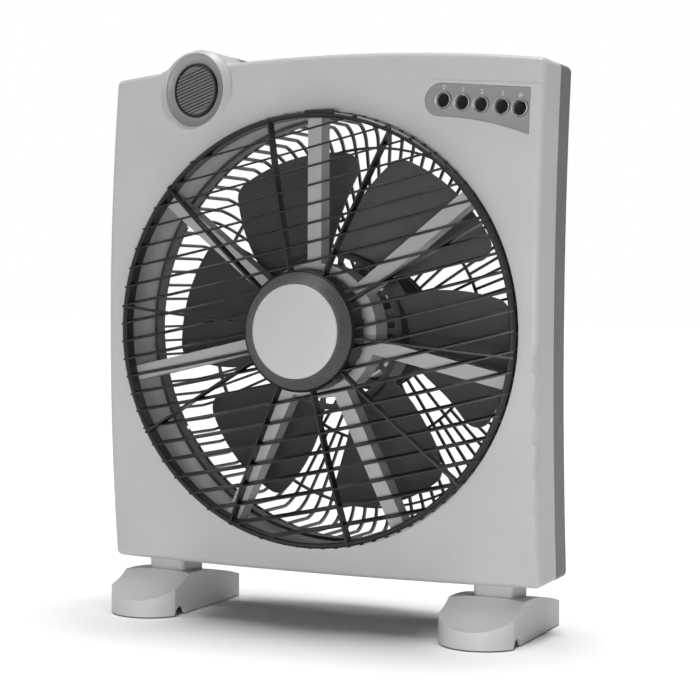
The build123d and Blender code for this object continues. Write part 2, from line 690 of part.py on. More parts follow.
def stator():
    """Laminated stack with its pole slots."""
    y0, y1 = STATOR_Y
    depth, width = POLE_SLOT
    slot = Pos(ROTOR_R + depth / 2, (y0 + y1) / 2, 0) * Box(depth, y1 - y0 + 2, width)
    body = tube(0, STATOR_R, y0, y1) - tube(0, ROTOR_R + AIR_GAP, 0, FAR)
    body = body - ring_of(slot, POLES)
    return body - spread(tie_points(), tube(0, TIE_SCREW_R, 0, FAR))


def windings():
    """The two copper end turns, either side of the stack."""
    (y0, y1), (rise_front, rise_back), (r0, r1), soft = STATOR_Y, WINDING_RISE, WINDING_R, 1.5
    rings = []
    for a, b in ((y0 - rise_front, y0 - 0.1), (y1 + 0.1, y1 + rise_back)):
        rings.append(turned((r0, a + soft), (r0 + soft, a), (r1 - soft, a), (r1, a + soft), (r1, b),
                            (r0, b)))
    return rings


def motor_bell(front):
    """One end bell: a cup with a bearing seat and four tie-screw lugs."""
    if front:
        y0, y1 = MOTOR_Y[0], STATOR_Y[0]
        floor, seat = (y0, y0 + BELL_WALL), (y0, y0 + SEAT_DEPTH)
        pocket, ties = (seat[0] + BELL_WALL, seat[1] + 1), (y0 + BELL_WALL, FAR)
    else:
        y0, y1 = STATOR_Y[1], MOTOR_Y[1]
        floor, seat = (y1 - BELL_WALL, y1), (y1 - SEAT_DEPTH, y1)
        pocket, ties = (seat[0] - 1, seat[1] - BELL_WALL), (0, FAR)
    body = tube(0, STATOR_R, *floor) + tube(STATOR_R - BELL_WALL, STATOR_R, y0, y1)
    body = body + tube(0, SEAT_R, *seat)
    body = body + [lug & tube(0, STATOR_R, y0, y1) for lug in spread(tie_points(), tube(0, LUG_R, y0, y1))]
    length, width = BELL_VENT
    vent = Pos(27, (floor[0] + floor[1]) / 2, 0) * Box(length, 8, width)
    body = body - ring_of(vent, 8, 22.5) - spread(tie_points(), tube(0, TIE_SCREW_R, *ties))
    return body - tube(0, BEARING_R, *pocket) - tube(0, SHAFT_R + 1, 0, MOTOR_Y[1] - BELL_WALL)


def bearing(y):
    """Sintered sleeve bearing."""
    return tube(SHAFT_R + RUN_FIT, BEARING_R, y, y + BEARING_T)


def motor_screws():
    screw_seat = MOTOR_Y[1] + PLATE_T
    return spread(tie_points(), Pos(0, screw_seat, 0) * back_screw(TIE_SCREW_R, TIE_SCREW_L, 3.4, 2.2))


def motor_cover():
    """Vented plastic cap, sunk into the back of the basket behind the motor."""
    y0, y1, r = MOTOR_Y[1] + PLATE_T, COVER_BACK, COVER_R
    body = turned((0, y1), (r - 5, y1), (r, y1 - 2.2), (r, y0), (r - COVER_T, y0),
                  (r - COVER_T, y1 - 2.7), (r - 5, y1 - COVER_T), (0, y1 - COVER_T))
    slot = Pos(0, y1, 0) * Box(3, 8, 44)
    middle = (COVER_SLOTS - 1) / 2
    return body - [Pos(8 * (k - middle), 0, 0) * slot for k in range(COVER_SLOTS)]


# ---- rear basket ----
def slot_wire(r0, r1, angle, pitch):
    """One air slot between two ribs."""
    corners = []
    for r in (r0, r1):
        edge = degrees(BASKET_RIB_T / 2 / r)
        corners.append((polar(r, angle + edge), polar(r, angle + pitch - edge)))
    (p, q), (s, t) = corners
    points = [(x, 0, z) for x, z in (p, s, t, q)]
    return Wire(Polyline(*points, close=True).edges())


def basket_section():
    """Half section of the basket, before its slots are cut."""
    inside, outside = BASKET_R
    (knee_r, knee_y), (turn_r, turn_y), (wall_r, wall_y) = BASKET_CORNER
    (dome_r, dome_y), (mid_r, mid_y) = BASKET_DOME
    lip, t = BASKET_RIM_Y[0] + 1, BASKET_T
    return make_face([
        Line((0, dome_y), (dome_r, dome_y)),
        ThreePointArc((dome_r, dome_y), (mid_r, mid_y), (knee_r, knee_y)),
        ThreePointArc((knee_r, knee_y), (turn_r, turn_y), (wall_r, wall_y)),
        Line((inside, wall_y), (inside, lip)),
        Line((inside, lip), (outside, lip)),
        Line((outside, lip), (outside, wall_y + 1)),
        ThreePointArc((outside, wall_y + 1), (turn_r + 2, turn_y + t), (knee_r + 1, knee_y + t)),
        ThreePointArc((knee_r + 1, knee_y + t), (mid_r, mid_y + t), (dome_r, dome_y + t)),
        Line((dome_r, dome_y + t), (0, dome_y + t)),
        Line((0, dome_y + t), (0, dome_y)),
    ])


def rear_grille():
    """Basket of fine ribs that closes the back and carries the motor."""
    slots = []
    for r0, r1, count in BASKET_ROWS:
        pitch = 360 / count
        slots += [slot_wire(r0, r1, pitch * k, pitch) for k in range(count)]
    edge = Wire([Edge.make_circle(BASKET_RIM_R[1], Plane.XZ)])
    sheet = Pos(0, 50, 0) * extrude(Face(edge, slots), amount=120, dir=(0, 1, 0))
    body = revolve(basket_section(), Axis.Y) & sheet
    body = body + tube(*BASKET_RIM_R, *BASKET_RIM_Y)
    body = body + tube(BASKET_RIM_R[0], BASKET_R[1], BASKET_RIM_Y[1] - 1, BASKET_BAND)
    well, skirt = PLATE_R
    front, back = MOTOR_Y[1], MOTOR_Y[1] + PLATE_T
    body = body - tube(0, well, front - 1, FAR)
    body = body + tube(0, skirt, front, back) + tube(well, skirt, front, BASKET_DOME[0][1] + BASKET_T)
    cuts = [tube(0, SEAT_R + 0.5, 0, FAR)]
    cuts += spread(tie_points(), tube(0, TIE_SCREW_R + 0.1, 0, FAR))
    hole = Pos(RIM_SCREW_R, 0, 0) * tube(0, PILOT_R, BASKET_RIM_Y[0] + 1, BASKET_RIM_Y[1] + 1)
    return body - cuts - [at_angle(hole, angle) for angle in RIM_ANGLES]


def rear_grille_screws():
    seat = BASKET_RIM_Y[1] + SEAM + SEAT_T
    one = Pos(RIM_SCREW_R, seat, 0) * back_screw(PILOT_R, 7.4, RIM_HEAD_R, 2.0)
    return [at_angle(one, angle) for angle in RIM_ANGLES]


def spider_screws():
    seat = SPIDER_Y + SPIDER_DEPTH + EAR_GAP + EAR_DEPTH
    one = Pos(SPOKE_SCREW_R, seat, 0) * back_screw(PILOT_R, 16, 3.0, 2.0)
    return [at_angle(one, spoke_angle(k)) for k in range(SPOKES)]


def shell_screws():
    one = back_screw(PILOT_R, SHELL_SCREW_L, 3.1, 2.4)
    return [Pos(x, bow(z) + SHELL_HEAD, z) * one for x, z in SHELL_POSTS]


# ---- controls ----
def control_panel():
    body = plate(panel_outline(0), -20, 60) & bowed(0, PANEL_T)
    return body - spread(BUTTONS, tube(0, BUTTON_R + BUTTON_GAP, -20, 60))


def key_ring(x, z):
    """Bright ring pressed on the front of a key, its bore a cone."""
    bore, lip, length = KEY_RING
    front = bow(z) - BUTTON_PROUD
    body = turned((lip, front), (lip + 0.2, front), (BUTTON_R, front + 0.5),
                  (BUTTON_R, front + length), (bore, front + length), (bore, front + length - 1.4))
    return Pos(x, 0, z) * body


def button(x, z):
    """Push button: a recessed black face, and a stem into the switch block."""
    y = bow(z)
    front = y - BUTTON_PROUD
    shoulder, end = front + KEY_RING[2], y + STEM_END
    body = turned((0, shoulder - 1.3), (BUTTON_FACE_R - 0.6, shoulder - 1.6),
                  (BUTTON_FACE_R, shoulder - 1.2), (BUTTON_FACE_R, shoulder), (BUTTON_R, shoulder),
                  (BUTTON_R, y + 6), (STEM_R, y + 6), (STEM_R, end), (0, end))
    return Pos(x, 0, z) * body


def switch_block():
    """Interlocked push-button switch behind the panel."""
    (x0, z0), (x1, z1) = BUTTONS[0], BUTTONS[-1]
    mid_x, mid_z = (x0 + x1) / 2, (z0 + z1) / 2
    lean = degrees(atan2(z1 - z0, x1 - x0))
    y = bow(mid_z)
    block = Rot(Y=-lean) * Box(*SWITCH_BOX)
    block = Pos(mid_x, y + SWITCH_FRONT + SWITCH_BOX[1] / 2 + 0.5, mid_z) * block
    return block - spread(BUTTONS, tube(0, STEM_R + 0.6, 0, y + STEM_END + BUTTON_TRAVEL + 1.5))


def timer_bezel():
    """Dished ring around the timer knob, with the timer's mounting floor behind it."""
    bore, back = KNOB_R + 0.5, 4.8
    dish = turned((bore, 2.8), (bore + 3, 2.3), (BEZEL_R - 3, 1.3), (BEZEL_R - 1.2, 0.3), (BEZEL_R, 0),
                  (BEZEL_R, back), (bore, back))
    cup = tube(bore, bore + 2, 2.8, 10) + tube(TIMER_SHAFT_R + 0.6, bore + 2, *TIMER_FLOOR)
    return timer_frame(dish + cup - spread(TIMER_SCREWS, tube(0, PILOT_R, 5, 15)))


def timer_body():
    width, depth, height = TIMER_BOX
    box = Pos(0, TIMER_FLOOR[1] + 0.1 + depth / 2, 0) * Box(width, depth, height)
    box = fillet(box.edges().filter_by(Axis.Y), 3)
    bores = [tube(0, TIMER_SHAFT_R + RUN_FIT, 5, 25)] + spread(TIMER_SCREWS, tube(0, PILOT_R, 5, 16))
    return timer_frame(box - bores)


def timer_screws():
    one = Pos(0, TIMER_FLOOR[0], 0) * screw(PILOT_R, 6, 2.8, 1.2)
    return [timer_frame(item) for item in spread(TIMER_SCREWS, one)]


def timer_shaft():
    return timer_frame(tube(0, TIMER_SHAFT_R, 2, 24))


def timer_knob():
    """Round knob with a raised rim and fine ribs across its face."""
    face, rim, back = 0.9, -0.6, 6.4
    inner = KNOB_R - KNOB_RIM
    body = turned((0, face), (inner, face), (inner + 0.4, rim), (KNOB_R - 0.6, rim), (KNOB_R, rim + 0.8),
                  (KNOB_R, back), (KNOB_R - 2, back), (KNOB_R - 2, face + 2), (5.5, face + 2),
                  (5.5, back + 0.8), (0, back + 0.8))
    disc = tube(0, inner + 0.2, face - 1.2, face + 0.5)
    rib = Pos(0, face, 0) * Box(2 * KNOB_R, 1.8, 1.3)
    middle = (KNOB_RIBS - 1) / 2
    ribs = [Rot(Y=KNOB_RIB_LEAN) * Pos(0, 0, KNOB_RIB_PITCH * (k - middle)) * rib & disc
            for k in range(KNOB_RIBS)]
    return timer_frame(body + ribs - tube(0, TIMER_SHAFT_R, 2, 10))


# ---- feet ----
def foot_plan(inset):
    """Seen from above: a round nose, straight sides and a square back."""
    half, (nose, tail), shoulder = FOOT_W / 2 - inset, FOOT_Y, FOOT_SHOULDER
    back = tail - inset
    face = make_face([
        ThreePointArc((-half, shoulder), (0, nose + inset), (half, shoulder)),
        Line((half, shoulder), (half, back)), Line((half, back), (-half, back)),
        Line((-half, back), (-half, shoulder))])
    return fillet([v for v in face.vertices() if v.Y > 0], 7 - inset)


def foot_side():
    """Seen from the side: rising from the nose to the neck, and falling to the back."""
    base, nose, tail = FLOOR + PAD_LIFT, FOOT_Y[0] - 4, FOOT_Y[1] + 4
    top = Spline((nose, FOOT_NOSE_Z), *FOOT_TOP, (tail, FOOT_TAIL_Z))
    edges = [Edge.make_line((0, nose, base), (0, tail, base)),
             Edge.make_line((0, tail, base), (0, tail, FOOT_TAIL_Z)),
             Edge.make_line((0, nose, FOOT_NOSE_Z), (0, nose, base))]
    return make_face(edges + (Plane.YZ * top).edges())


def foot():
    """One foot about x = 0, with a scooped nose, a neck and a hollow underside."""
    base = FLOOR + PAD_LIFT
    below = Plane.XY.offset(FLOOR - 30)
    body = extrude(foot_side(), amount=FOOT_W, dir=(1, 0, 0), both=True)
    body = body & extrude(below * foot_plan(0), 120)
    body = body - Pos(0, SCOOP_AT[0], SCOOP_AT[1] + SCOOP_R) * Sphere(SCOOP_R)
    neck = Box(NECK_W, NECK_Y[1] - NECK_Y[0], NECK_TOP - NECK_LOW)
    neck = fillet(neck.edges().filter_by(Axis.Z), NECK_CORNER_R)
    body = body + Pos(0, sum(NECK_Y) / 2, (NECK_TOP + NECK_LOW) / 2) * neck
    body = body - extrude(Plane.XY.offset(base - 1) * foot_plan(FOOT_WALL), FOOT_CAVITY + 1)
    inside = extrude(below * foot_plan(1), 120)
    post = Cylinder(PAD_R + 1.8, FOOT_CAVITY)
    body = body + [Pos(x, y, base + FOOT_CAVITY / 2) * post & inside for x, y in PADS]
    cuts = [Pos(x, y, FLOOR + PAD_T / 2) * Cylinder(PAD_R, PAD_T) for x, y in PADS]
    cuts.append(Pos(0, -1, base - 2.5) * Rot(Y=90) * Cylinder(ARCH_R, 3 * FOOT_W))
    for x, y in foot_screw_points(0):
        cuts.append(Pos(x, y, FOOT_HEAD) * Cylinder(PILOT_R + 0.5, 60))
        cuts.append(Pos(x, y, FOOT_HEAD - 20) * Cylinder(FOOT_SCREW_HEAD[0] + 0.4, 40))
    return body - cuts


def foot_pads(side):
    pad = Cylinder(PAD_R, PAD_T)
    return [Pos(side * FOOT_X + x, y, FLOOR + PAD_T / 2) * pad for x, y in PADS]


def foot_screws():
    one = Rot(X=90) * screw(PILOT_R, FOOT_SCREW_L, *FOOT_SCREW_HEAD)
    return [Pos(x, y, FOOT_HEAD) * one for side in (-1, 1) for x, y in foot_screw_points(side)]


# ---- inside the housing ----
def capacitor():
    """Motor run capacitor, standing on the inside of the rear shell."""
    back = bow(CAPACITOR_Z) + DEPTH - WALL - 1.5
    body = Pos(CAPACITOR_X, back - CAPACITOR[1] / 2, CAPACITOR_Z) * Box(*CAPACITOR)
    return fillet(body.edges().filter_by(Axis.X), 2)


# ---- export ----
def save(name, shape):
    """Write one node, as one solid or as a group of separate solids."""
    items = shape if isinstance(shape, list) else [shape]
    solids = [s for item in items for s in (PLACE * item).solids()]
    result = solids[0] if len(solids) == 1 else Compound(children=solids)
    export_step(result, f"parts/{name}.step")
    print(f"{name}: {len(solids)} solid(s), valid {all(s.is_valid for s in solids)}")


os.makedirs("parts", exist_ok=True)
for build in (front_shell, rear_shell, cord_gland, grille_spider, louvre_motor, louvre_motor_screws,
              louvre_pinion, ring_gear, axle_washer, axle_screw, drum_cover, louvre_grille, hub_cone,
              hub_cap, impeller, impeller_nut, motor_shaft, rotor, stator, windings, motor_screws,
              motor_cover, rear_grille, rear_grille_screws, spider_screws, shell_screws,
              control_panel, switch_block, timer_bezel, timer_body, timer_screws, timer_shaft,
              timer_knob, foot_screws, capacitor):
    save(build.__name__, build())
save("motor_front_bell", motor_bell(True))
save("motor_rear_bell", motor_bell(False))
save("front_bearing", bearing(MOTOR_Y[0] + BELL_WALL))
save("rear_bearing", bearing(MOTOR_Y[1] - SEAT_DEPTH))
for index, spot in enumerate(BUTTONS):
    save(f"button_{index + 1}", button(*spot))
    save(f"key_ring_{index + 1}", key_ring(*spot))
one_foot = foot()
for label, side in (("left", -1), ("right", 1)):
    save(f"{label}_foot", Pos(side * FOOT_X, 0, 0) * one_foot)
    save(f"{label}_foot_pads", foot_pads(side))
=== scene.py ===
"""Looks of the 14-inch box fan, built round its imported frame: plastics, metals, printed key symbols
and a plain pale studio. All lengths are metres in the frame's own axes."""
import json
import math

import bpy
from mathutils import Matrix, Vector

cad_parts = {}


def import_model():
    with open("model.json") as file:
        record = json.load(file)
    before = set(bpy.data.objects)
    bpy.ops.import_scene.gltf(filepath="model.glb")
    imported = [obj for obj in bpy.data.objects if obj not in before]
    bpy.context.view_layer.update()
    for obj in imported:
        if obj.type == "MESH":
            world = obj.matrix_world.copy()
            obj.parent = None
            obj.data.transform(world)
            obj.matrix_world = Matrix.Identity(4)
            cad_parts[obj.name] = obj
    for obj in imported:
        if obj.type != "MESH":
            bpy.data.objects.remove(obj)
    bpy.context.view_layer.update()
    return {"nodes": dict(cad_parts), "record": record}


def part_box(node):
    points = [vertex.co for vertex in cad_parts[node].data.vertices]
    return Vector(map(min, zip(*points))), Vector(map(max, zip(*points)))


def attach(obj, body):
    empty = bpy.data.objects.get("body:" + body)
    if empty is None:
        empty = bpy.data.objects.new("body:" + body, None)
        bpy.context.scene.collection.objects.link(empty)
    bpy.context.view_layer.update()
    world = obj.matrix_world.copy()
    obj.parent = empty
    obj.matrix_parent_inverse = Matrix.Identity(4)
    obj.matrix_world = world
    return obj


MM = 0.001

# ---- camera ----
CAMERA_FROM_RING = (0.68422, -1.37526, 0.03698)
CAMERA_FORWARD = (-0.42268, 0.90559, -0.03519)
CAMERA_ROLL = math.radians(0.26)
CAMERA_LENS = 87.21
SENSOR = 36.0

# ---- studio ----
SKY_SEEN = 1.0               # brightness of the sky as the camera sees it
SKY_LIGHT = 0.02             # and as it lights the object
SKY_GLOSS = 0.7              # and as it shows in glossy surfaces
TOP_LIGHT = 3.7              # sun, a little behind the fan
TOP_SPREAD = math.radians(32)
TOP_FROM = (0, 0.42, 3)
FRONT_LIGHT = 19             # low softbox in front
FRONT_FROM = (0.55, -2.1, 0.12)
FRONT_TARGET = (0, 0, 0.2)
FRONT_SIZE = (1.4, 0.2)
FOOT_LIGHT = 29.0            # narrow lamp on each foot
FOOT_BEAM = math.radians(5.5)
FOOT_LAMP_R = 0.03
FOOT_LIGHT_FROM = (0.2, -0.75, 0.95)
FOOT_AIM = (0.035, 0.01)     # behind the foot's front end, and above the floor
FLOOR_SIZE = 30.0

# ---- sockets of Blender's Mix node ----
MIX_FACTOR, MIX_FLOAT_A, MIX_FLOAT_B, MIX_COLOUR_A, MIX_COLOUR_B = 0, 2, 3, 6, 7
MIX_FLOAT_OUT, MIX_COLOUR_OUT = 0, 2

# ---- printed key symbols ----
SYMBOL_HEIGHT = 4.2 * MM
SYMBOL_LIFT = 11.4 * MM      # above the middle of its key
SYMBOL_PROUD = 0.06 * MM
KEY_COUNT = 5

# ---- round parts ----
RIB_PAINTED_SHADE = 1.5 * MM         # reach of the painted shade between the knob's ribs
KNOB_FACE_R = 22.8 * MM      # grey face of the timer knob, inside its black rim, which is partly the rim's own colour and partly painted shade of the gap round the knob
HUB_FACE_R = 52.8 * MM       # grooved cone of the hub, inside its black rim
GROOVE_PITCH = 1.3 * MM


def tone(level, warm=0.0):
    """Linear colour of a grey given as a display level from 0 to 255, a little warmer or cooler."""
    v = level / 255
    v = v / 12.92 if v <= 0.04045 else ((v + 0.055) / 1.055) ** 2.4
    return (v * (1 + warm), v, v * (1 - warm), 1.0)


# ---- material building ----
class Finish:
    """A Principled material whose colour, roughness and relief vary over the surface."""

    def __init__(self, name, roughness, metallic=0.0, **sockets):
        self.material = bpy.data.materials.new(name)
        self.material.use_nodes = True
        self.tree = self.material.node_tree
        self.shader = self.tree.nodes["Principled BSDF"]
        self.shader.inputs["Metallic"].default_value = metallic
        self.shader.inputs["Roughness"].default_value = roughness
        for socket, value in sockets.items():
            self.shader.inputs[socket.replace("_", " ").title().replace("Ior", "IOR")].default_value = value
        self.coords = self.tree.nodes.new("ShaderNodeTexCoord")
        self.height = None

    def link(self, source, target):
        self.tree.links.new(source, target)

    def place(self, stretch):
        """Object coordinates, stretched per axis."""
        node = self.tree.nodes.new("ShaderNodeMapping")
        node.inputs["Scale"].default_value = stretch
        self.link(self.coords.outputs["Object"], node.inputs["Vector"])
        return node.outputs["Vector"]

    def noise(self, grain, detail=2.0, stretch=(1, 1, 1)):
        """Noise whose grains are about this long, in metres."""
        node = self.tree.nodes.new("ShaderNodeTexNoise")
        node.inputs["Scale"].default_value = 1 / grain
        node.inputs["Detail"].default_value = detail
        self.link(self.place(stretch), node.inputs["Vector"])
        return node.outputs["Fac"]

    def radius(self, node):
        """Distance from the Y axis through the middle of a node."""
        low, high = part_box(node)
        shift = self.tree.nodes.new("ShaderNodeVectorMath")
        shift.operation = "SUBTRACT"
        shift.inputs[1].default_value = (low + high) / 2
        self.link(self.coords.outputs["Object"], shift.inputs[0])
        flat = self.tree.nodes.new("ShaderNodeVectorMath")
        flat.operation = "MULTIPLY"
        flat.inputs[1].default_value = (1, 0, 1)
        self.link(shift.outputs[0], flat.inputs[0])
        length = self.tree.nodes.new("ShaderNodeVectorMath")
        length.operation = "LENGTH"
        self.link(flat.outputs[0], length.inputs[0])
        return length.outputs["Value"]

    def between(self, value, low, high):
        """A noise value spread over a range of numbers."""
        node = self.tree.nodes.new("ShaderNodeMapRange")
        node.inputs["From Min"].default_value = 0.3
        node.inputs["From Max"].default_value = 0.7
        node.inputs["To Min"].default_value = low
        node.inputs["To Max"].default_value = high
        self.link(value, node.inputs["Value"])
        return node.outputs["Result"]

    def colour(self, dark, light, value):
        """Base colour running from dark to light with a noise value."""
        node = self.tree.nodes.new("ShaderNodeValToRGB")
        node.color_ramp.elements[0].position = 0.32
        node.color_ramp.elements[1].position = 0.68
        node.color_ramp.elements[0].color = dark
        node.color_ramp.elements[1].color = light
        self.link(value, node.inputs["Fac"])
        self.link(node.outputs["Color"], self.shader.inputs["Base Color"])
        return self

    def blend_colour(self, factor, low, high):
        """Base colour running from low to high; each is a colour, or a socket that carries one."""
        mix = self.tree.nodes.new("ShaderNodeMix")
        mix.data_type = "RGBA"
        self.link(factor, mix.inputs[MIX_FACTOR])
        for index, end in ((MIX_COLOUR_A, low), (MIX_COLOUR_B, high)):
            if isinstance(end, tuple):
                mix.inputs[index].default_value = end
            else:
                self.link(end, mix.inputs[index])
        self.link(mix.outputs[MIX_COLOUR_OUT], self.shader.inputs["Base Color"])
        return self

    def present_colour(self):
        """The socket that feeds the base colour."""
        return self.shader.inputs["Base Color"].links[0].from_socket

    def gloss(self, value, low, high):
        self.link(self.between(value, low, high), self.shader.inputs["Roughness"])
        return self

    def relief(self, value, depth, strength=1.0):
        """Adds relief of this depth, in metres, on top of what is there."""
        node = self.tree.nodes.new("ShaderNodeBump")
        node.inputs["Distance"].default_value = depth
        node.inputs["Strength"].default_value = strength
        self.link(value, node.inputs["Height"])
        if self.height is not None:
            self.link(self.height, node.inputs["Normal"])
        self.height = node.outputs["Normal"]
        self.link(self.height, self.shader.inputs["Normal"])
        return self


def moulded(name, level, roughness, grain=0.6 * MM, depth=0.02 * MM, spread=4, warm=0.0, **sockets):
    """Moulded plastic: spark-eroded grain, faint flow in the colour, uneven gloss."""
    finish = Finish(name, roughness, **sockets)
    finish.colour(tone(level - spread, warm), tone(level + spread, warm), finish.noise(60 * MM, 3))
    finish.gloss(finish.noise(9 * MM, 4), roughness - 0.03, roughness + 0.03)
    finish.relief(finish.noise(25 * MM, 1), 0.12 * MM, 0.25)
    finish.relief(finish.noise(grain, 2), depth, 0.6)
    return finish.material


def metal(name, level, roughness, stretch, warm=0.0, dark=14):
    """Worked metal: fine lines along one way, and a mottled tarnish."""
    finish = Finish(name, roughness, metallic=1.0)
    finish.colour(tone(level - dark, warm), tone(level, warm), finish.noise(3 * MM, 4, stretch))
    finish.gloss(finish.noise(1.5 * MM, 3, stretch), roughness - 0.08, roughness + 0.1)
    finish.relief(finish.noise(0.5 * MM, 2, stretch), 0.01 * MM, 0.5)
    return finish.material


def laminated():
    """Edges of stacked steel sheets, half a millimetre apart along the shaft."""
    finish = Finish("lamination", 0.45, metallic=0.8)
    finish.colour(tone(70), tone(120), finish.noise(4 * MM, 4))
    wave = finish.tree.nodes.new("ShaderNodeTexWave")
    wave.bands_direction = "Y"
    wave.inputs["Scale"].default_value = 0.32 / (0.5 * MM) / 2
    finish.link(finish.coords.outputs["Object"], wave.inputs["Vector"])
    finish.gloss(finish.noise(2 * MM, 2), 0.38, 0.55)
    finish.relief(wave.outputs["Fac"], 0.08 * MM, 0.7)
    return finish.material


def wound():
    """Varnished copper wire, wound in fine turns."""
    finish = Finish("copper", 0.3, metallic=0.9, coat_weight=0.4)
    finish.colour((0.30, 0.11, 0.04, 1), (0.58, 0.25, 0.10, 1), finish.noise(0.8 * MM, 2, (1, 4, 1)))
    wave = finish.tree.nodes.new("ShaderNodeTexWave")
    wave.wave_type = "RINGS"
    wave.rings_direction = "Y"
    wave.inputs["Scale"].default_value = 320
    wave.inputs["Distortion"].default_value = 1.5
    finish.link(finish.coords.outputs["Object"], wave.inputs["Vector"])
    finish.gloss(finish.noise(2 * MM, 2), 0.25, 0.4)
    finish.relief(wave.outputs["Fac"], 0.3 * MM, 0.8)
    return finish.material


def rimmed(name, node, face, rim, face_r, roughness, **sockets):
    """Plastic of a round part: a grey face inside a dark rim, told apart by the distance from its axis."""
    finish = Finish(name, roughness, **sockets)
    distance = finish.radius(node)
    edge = finish.tree.nodes.new("ShaderNodeMapRange")
    edge.inputs["From Min"].default_value = face_r - 0.2 * MM
    edge.inputs["From Max"].default_value = face_r + 0.2 * MM
    finish.link(distance, edge.inputs["Value"])
    finish.colour(tone(face - 4), tone(face + 4), finish.noise(6 * MM, 3))
    finish.blend_colour(edge.outputs["Result"], finish.present_colour(), tone(rim))
    finish.gloss(finish.noise(5 * MM, 4), roughness - 0.06, roughness + 0.06)
    finish.relief(finish.noise(0.5 * MM, 2), 0.012 * MM, 0.5)
    return finish


def knob_with_painted_rib_shade():
    """The timer knob: a grey face with painted shade between its ribs, inside a black rim that is partly
    the rim's own colour and partly painted shade of the gap round the knob.
    """
    # the black band outside KNOB_FACE_R is the knob's dark rim and also painted shade of the gap round it
    finish = rimmed("knob_dark", "timer_knob", 112, 16, KNOB_FACE_R, 0.4)
    # painted shade: ambient occlusion darkens the colour towards near black in the hollows between the ribs
    painted_rib_shade_ao = finish.tree.nodes.new("ShaderNodeAmbientOcclusion")
    painted_rib_shade_ao.only_local = True
    painted_rib_shade_ao.inputs["Distance"].default_value = RIB_PAINTED_SHADE
    painted_rib_shade = finish.tree.nodes.new("ShaderNodeMath")
    painted_rib_shade.operation = "POWER"
    painted_rib_shade.inputs[1].default_value = 4.0
    finish.link(painted_rib_shade_ao.outputs["AO"], painted_rib_shade.inputs[0])
    finish.blend_colour(painted_rib_shade.outputs[0], tone(16), finish.present_colour())
    return finish.material


def spun_hub():
    """The hub's cone: fine turned grooves in a dark, glossy plastic, and a black rim."""
    finish = rimmed("hub_smoke", "hub_cone", 98, 14, HUB_FACE_R, 0.44)
    groove = finish.tree.nodes.new("ShaderNodeMath")
    groove.operation = "PINGPONG"
    groove.inputs[1].default_value = GROOVE_PITCH / 2
    finish.link(finish.radius("hub_cone"), groove.inputs[0])
    finish.relief(groove.outputs[0], 1.6, 1.0)
    return finish.material


def make_finishes():
    """One material for each finish slot of the record."""
    sheet = (1, 14, 1)
    return {
        "housing_light": moulded("housing_light", 188, 0.42, spread=2, specular_ior_level=0.3),
        "housing_dark": moulded("housing_dark", 84, 0.45, spread=3),
        "grille_black": moulded("grille_black", 26, 0.4, depth=0.01 * MM, specular_ior_level=0.35),
        "guard_black": moulded("guard_black", 62, 0.42),
        "spider_light": moulded("spider_light", 178, 0.40, spread=3),
        "blade_grey": moulded("blade_grey", 70, 0.46, grain=1.2 * MM, depth=0.01 * MM,
                              specular_ior_level=0.2),
        "hub_smoke": spun_hub(),
        "cap_light": moulded("cap_light", 186, 0.36, spread=2, depth=0.012 * MM),
        "panel_grey": moulded("panel_grey", 138, 0.40, spread=3),
        "button_black": moulded("button_black", 10, 0.45, depth=0.004 * MM, specular_ior_level=0.15),
        "key_bright": moulded("key_bright", 230, 0.2, depth=0.004 * MM, spread=2, metallic=1.0),
        "knob_dark": knob_with_painted_rib_shade(),
        "inner_black": moulded("inner_black", 30, 0.5),
        "gear_white": moulded("gear_white", 226, 0.38, warm=0.03),
        "steel": metal("steel", 214, 0.28, sheet),
        "lamination": laminated(),
        "alloy": metal("alloy", 196, 0.42, (1, 1, 1), dark=26),
        "copper": wound(),
        "bronze": metal("bronze", 176, 0.38, (1, 1, 1), warm=0.28),
        "rubber": moulded("rubber", 34, 0.75, grain=0.9 * MM, depth=0.05 * MM),
    }


def dress_nodes(frame, finishes):
    """Gives every CAD node the material of its slot."""
    for row in frame["record"]["subparts"]:
        mesh = frame["nodes"][row["node"]].data
        mesh.materials.clear()
        mesh.materials.append(finishes[row["material_slot"]])


# ---- printed key symbols ----
def figure_mesh(text):
    """A printed figure, centred, in the X-Y plane."""
    curve = bpy.data.curves.new("figure", "FONT")
    curve.body = text
    curve.size = SYMBOL_HEIGHT / 0.72
    curve.align_x = "CENTER"
    curve.align_y = "CENTER"
    curve.extrude = SYMBOL_PROUD / 2
    carrier = bpy.data.objects.new("figure", curve)
    mesh = bpy.data.meshes.new_from_object(carrier)
    bpy.data.objects.remove(carrier)
    return mesh


def swirl_mesh():
    """Three curved arms round a middle: the sign for a turning air stream."""
    curve = bpy.data.curves.new("swirl", "CURVE")
    curve.dimensions = "3D"
    curve.bevel_depth = 0.36 * MM
    reach = SYMBOL_HEIGHT / 2
    for arm in range(3):
        spline = curve.splines.new("POLY")
        steps = 10
        spline.points.add(steps)
        for k in range(steps + 1):
            share = k / steps
            angle = math.radians(120 * arm + 130 * share)
            r = reach * (0.15 + 0.85 * share)
            spline.points[k].co = (r * math.cos(angle), r * math.sin(angle), 0, 1)
    carrier = bpy.data.objects.new("swirl", curve)
    mesh = bpy.data.meshes.new_from_object(carrier)
    bpy.data.objects.remove(carrier)
    for vertex in mesh.vertices:
        vertex.co.z *= SYMBOL_PROUD / curve.bevel_depth
    return mesh


def print_on_panel(name, mesh, x, z, panel):
    """Stands a flat mesh up over (x, z) and presses it on the bowed panel."""
    for vertex in mesh.vertices:
        across, up, proud = vertex.co
        here = Vector((x + across, -1.0, z + up))
        hit, point, _, _ = panel.ray_cast(here, Vector((0, 1, 0)))
        if not hit:
            raise RuntimeError(f"{name} lies off the panel")
        vertex.co = (here.x, point.y - proud, here.z)
    piece = bpy.data.objects.new(name, mesh)
    bpy.context.scene.collection.objects.link(piece)
    return piece


